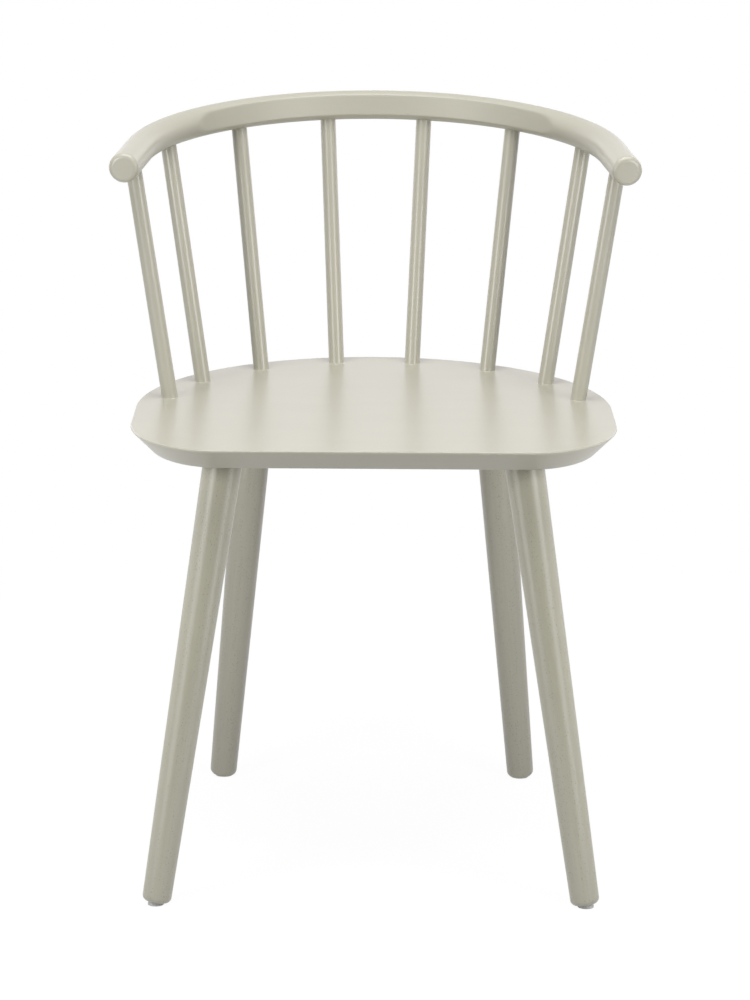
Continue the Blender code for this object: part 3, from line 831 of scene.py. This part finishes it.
def pad_rings(foot, axis):
    """Rings of a felt disc on a leaning foot that is pressed level at the floor.

    Each side line runs down along the leg's axis from the foot's end to the floor, and the radius is
    that of the disc with a frayed share of waves round it.
    """
    first, second = across(axis)
    waves = np.arange(3, 40)
    phases = fray.uniform(0.0, 2 * math.pi, (5, len(waves)))
    sizes = 0.006 / np.sqrt(waves / 3.0)
    ragged = (sizes * np.sin(waves * PAD_RING[:, None, None] + phases)).sum(axis=-1).T
    radius = PAD_RADIUS * (0.985 + np.clip(ragged, -0.035, 0.03))
    spoke = np.cos(PAD_RING)[:, None] * first + np.sin(PAD_RING)[:, None] * second
    share = np.linspace(0.0, 1.0, 5)[:, None, None]
    side = foot - LEG_GAP * axis + radius[..., None] * spoke
    drop = side[..., 2:] / axis[2]
    side = side - share * drop * axis
    inner_top = foot - LEG_GAP * axis + 0.5 * PAD_RADIUS * spoke
    inner_base = side[-1] * 0.5 + side[-1].mean(axis=0) * 0.5
    return np.concatenate([inner_top[None], side, inner_base[None]])


print("pad ring:", len(PAD_RING), "points")

# %% [markdown]
# ### Four discs
#
# Each disc sits under the foot of its own leg and draws its own fray from the generator, in the order of
# the legs.

# %% Felt pads
for row in LEGS:
    for side, sign in (("left", -1), ("right", 1)):
        rings = pad_rings(*leg_line(row, sign))
        name = f"felt_disc_{row}_{side}"
        add_piece(name, skin_rings(name, rings, rings), felt, f"felt_pad_{row}_{side}")
print("felt discs:", 2 * len(LEGS))

# %% [markdown]
# ## Bolts and inserts
#
# Hidden under the seat, a zinc-plated hanger bolt in the top of each leg turns into a die-cast insert.
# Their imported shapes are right, so they only get metals: bright plating with faint blotches for the
# bolts, and a duller, grainy casting skin for the inserts.

# %% Metal materials
def metal_material(name, dark, light, roughness, grain):
    """A metal whose tone and roughness wander with a noise on object coordinates."""
    material = bpy.data.materials.new(name)
    material.use_nodes = True
    tree = material.node_tree
    shader = tree.nodes["Principled BSDF"]
    shader.inputs["Metallic"].default_value = 1.0
    place = add_node(tree, "ShaderNodeTexCoord").outputs["Object"]
    spots = noise(tree, place, (grain, grain, grain), 3.0)
    ramp = add_node(tree, "ShaderNodeValToRGB")
    ramp.color_ramp.elements[0].color = dark
    ramp.color_ramp.elements[1].color = light
    wire(tree, spots, ramp.inputs["Fac"])
    wire(tree, ramp.outputs["Color"], shader.inputs["Base Color"])
    dullness = fade(tree, spots, 0.3, 0.7, roughness - 0.08, roughness + 0.08)
    wire(tree, dullness, shader.inputs["Roughness"])
    return material


PLATING = ((0.50, 0.51, 0.54, 1.0), (0.74, 0.75, 0.77, 1.0))
CASTING = ((0.40, 0.41, 0.43, 1.0), (0.58, 0.59, 0.61, 1.0))
plated_steel = metal_material("zinc_plated_steel", *PLATING, roughness=0.32, grain=260.0)
cast_zinc = metal_material("die_cast_zinc", *CASTING, roughness=0.48, grain=700.0)
for corner in ("front_left", "front_right", "rear_left", "rear_right"):
    for part, metal in (("hanger_bolt", plated_steel), ("threaded_insert", cast_zinc)):
        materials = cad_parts[f"{part}_{corner}"].data.materials
        materials.clear()
        materials.append(metal)
print("metals:", plated_steel.name, cast_zinc.name)

# %% [markdown]
# ## Studio
#
# The chair stands in a white room. To the camera and in reflections the room is plain white, while the
# light that it sends to the chair stays low, so that the lamps shape the pieces. A Light Path node tells
# the two kinds of rays apart.

# %% White world
world = bpy.data.worlds.new("white_room")
bpy.context.scene.world = world
world.use_nodes = True
room = world.node_tree
AMBIENT = 0.06


def seen_directly(tree):
    """One for camera, glossy and transmission rays, else zero."""
    path = add_node(tree, "ShaderNodeLightPath").outputs
    shown = calculate(tree, "MAXIMUM", path["Is Camera Ray"], path["Is Glossy Ray"])
    return calculate(tree, "MAXIMUM", shown, path["Is Transmission Ray"])


backing = room.nodes["Background"]
backing.inputs["Color"].default_value = (1.0, 1.0, 1.0, 1.0)
level = calculate(room, "MULTIPLY_ADD", seen_directly(room), 1.0 - AMBIENT, AMBIENT)
wire(room, level, backing.inputs["Strength"])
print("world ambient:", AMBIENT)

# %% [markdown]
# ### Floor
#
# The floor is one wide square, far larger than the picture, so that no edge of it shows. It is staged,
# which means that it isn't counted as a part of the chair.

# %% A wide floor
floor_mesh = bpy.data.meshes.new("studio_floor")
floor_mesh.from_pydata([(-30, -30, 0), (30, -30, 0), (30, 30, 0), (-30, 30, 0)], [], [(0, 1, 2, 3)])
floor = bpy.data.objects.new("studio_floor", floor_mesh)
bpy.context.scene.collection.objects.link(floor)
floor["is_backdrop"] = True
print("floor:", floor.name)

# %% [markdown]
# ### Floor paint
#
# The floor's paint works as the room does: seen directly it glows white, and to other rays it is a plain
# grey surface. Near the chair a share of the grey shows through and takes the shadow. The glow is
# stronger there and makes up for the grey, so the shadow is very faint or lost in white.

# %% White floor paint
SHADOW_SHARE = 0.16
SHADOW_REACH = (0.55, 1.15)
NEAR_GLOW = 1.135
floor_paint = bpy.data.materials.new("white_floor")
floor_paint.use_nodes = True
floor_tree = floor_paint.node_tree
floor_tree.nodes.remove(floor_tree.nodes["Principled BSDF"])
dull = add_node(floor_tree, "ShaderNodeBsdfDiffuse")
dull.inputs["Color"].default_value = (0.49, 0.49, 0.49, 1.0)
white = add_node(floor_tree, "ShaderNodeEmission")
either = add_node(floor_tree, "ShaderNodeMixShader")
away = add_node(floor_tree, "ShaderNodeVectorMath", operation="LENGTH")
wire(floor_tree, add_node(floor_tree, "ShaderNodeTexCoord").outputs["Object"], away.inputs[0])
plain = fade(floor_tree, away.outputs["Value"], *SHADOW_REACH, 1.0 - SHADOW_SHARE, 1.0)
glow = fade(floor_tree, away.outputs["Value"], *SHADOW_REACH, NEAR_GLOW, 1.0)
wire(floor_tree, glow, white.inputs["Strength"])
whitened = calculate(floor_tree, "MULTIPLY", seen_directly(floor_tree), plain)
wire(floor_tree, whitened, either.inputs[0])
wire(floor_tree, dull.outputs[0], either.inputs[1])
wire(floor_tree, white.outputs[0], either.inputs[2])
wire(floor_tree, either.outputs[0], floor_tree.nodes["Material Output"].inputs["Surface"])
floor_mesh.materials.append(floor_paint)
print("floor paint nodes:", len(floor_tree.nodes))

# %% [markdown]
# ### Dim wall
#
# Satin paint mirrors whatever stands in front of it. Between the streaks of the soft boxes it should be
# dark, so a dim wall stands in front of the chair, hidden from the camera and seen only in reflections.

# %% Dim wall in front of the chair
WALL_FRONT = -1.05
WALL_REACH = 3.0
wall_mesh = bpy.data.meshes.new("dim_wall")
wall_corners = [(-WALL_REACH, 0.0), (-WALL_REACH, WALL_REACH), (WALL_REACH, WALL_REACH), (WALL_REACH, 0.0)]
wall_mesh.from_pydata([(x, WALL_FRONT, z) for x, z in wall_corners], [], [(0, 1, 2, 3)])
wall = bpy.data.objects.new("dim_wall", wall_mesh)
bpy.context.scene.collection.objects.link(wall)
wall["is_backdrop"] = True
wall.visible_camera = False
wall_paint = bpy.data.materials.new("grey_wall")
wall_paint.use_nodes = True
wall_shader = wall_paint.node_tree.nodes["Principled BSDF"]
wall_shader.inputs["Base Color"].default_value = (0.06, 0.06, 0.06, 1.0)
wall_shader.inputs["Roughness"].default_value = 0.9
wall_mesh.materials.append(wall_paint)
print("wall:", wall.name)

# %% [markdown]
# ### A soft box
#
# A studio soft box is a sheet of lit cloth. A glowing plane could stand for it, but an area lamp gives
# the same light from a place, a point to look at and a power in watts. It is hidden from the camera, so
# that only its light and its mirror images show.

# %% A helper that sets up a soft box
def soft_box(name, place, aim, width, height, power):
    """A rectangular area lamp at a place that looks at a point."""
    lamp = bpy.data.lights.new(name, "AREA")
    lamp.shape = "RECTANGLE"
    lamp.size = width
    lamp.size_y = height
    lamp.energy = power
    box = bpy.data.objects.new(name, lamp)
    direction = np.array(aim) - np.array(place)
    box.location = place
    box.rotation_euler = (
        math.atan2(math.hypot(direction[0], direction[1]), -direction[2]),
        0.0,
        math.atan2(-direction[0], direction[1]),
    )
    box.visible_camera = False
    bpy.context.scene.collection.objects.link(box)
    print(f"{name}: {width} by {height} m, {power} W")
    return box


# %% [markdown]
# ### Soft boxes in front
#
# A low and a high soft box to each side draw the pairs of streaks down the rods and legs. Seen from
# behind at a low angle, the flat seat would mirror a high box and burn out to white. So light linking
# leaves the seat out of those two lamps, and a twin of each lights the seat alone, without a mirror
# image, which keeps the seat as bright as before.

# %% Soft boxes in front
LOW_BOX = {"aim": (0.0, 0.0, 0.39), "width": 0.35, "height": 0.76, "power": 1.10}
HIGH_BOX = {"aim": (0.0, 0.05, 0.76), "width": 0.40, "height": 0.44, "power": 4.3}
all_but_seat = bpy.data.collections.new("all_but_seat")
all_but_seat.objects.link(seat)
all_but_seat.collection_objects[0].light_linking.link_state = "EXCLUDE"
seat_alone = bpy.data.collections.new("seat_alone")
seat_alone.objects.link(seat)
for side, sign in (("left", -1), ("right", 1)):
    soft_box(f"soft_box_{side}_low", (sign * 0.63, -0.62, 0.39), **LOW_BOX)
    high_place = (sign * 0.84, -0.80, 0.80)
    high_box = soft_box(f"soft_box_{side}_high", high_place, **HIGH_BOX)
    high_box.light_linking.receiver_collection = all_but_seat
    seat_twin = soft_box(f"soft_box_{side}_seat", high_place, **HIGH_BOX)
    seat_twin.light_linking.receiver_collection = seat_alone
    seat_twin.visible_glossy = False

# %% [markdown]
# ### Light from above and behind
#
# A large box overhead lights the seat. Behind the chair a faintly tinted panel and two boxes at the
# corners light the rims and the back.

# %% Soft boxes above and behind
ABOVE = {"aim": (0.0, 0.0, 0.50), "width": 1.60, "height": 1.40, "power": 27.6}
BEHIND = {"aim": (0.0, 0.0, 0.80), "width": 3.60, "height": 1.80, "power": 4.8}
BACK_CORNER = {"aim": (0.0, 0.1, 0.60), "width": 2.40, "height": 1.60, "power": 9.0}
soft_box("soft_box_above", (0.0, -0.34, 2.10), **ABOVE)
panel = soft_box("tinted_panel_behind", (0.0, 2.60, 1.15), **BEHIND)
panel.data.color = (0.93, 0.80, 1.0)
for side, sign in (("left", -1), ("right", 1)):
    back_box = soft_box(f"soft_box_{side}_back", (sign * 1.80, 1.70, 1.00), **BACK_CORNER)
    back_box.data.color = (1.0, 0.94, 0.97)

# %% [markdown]
# ## Finish
#
# The picture uses the plain Standard view, so colours come out as they are written. The box of the
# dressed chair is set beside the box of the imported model, to show that dressing did not change its size.

# %% View, sizes and hand-over
bpy.context.scene.view_settings.view_transform = "Standard"
low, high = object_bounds()
grown_low = [round(1000 * (a - b), 2) for a, b in zip(cad_low, low)]
grown_high = [round(1000 * (b - a), 2) for a, b in zip(cad_high, high)]
print("grown by mm:", grown_low, grown_high)
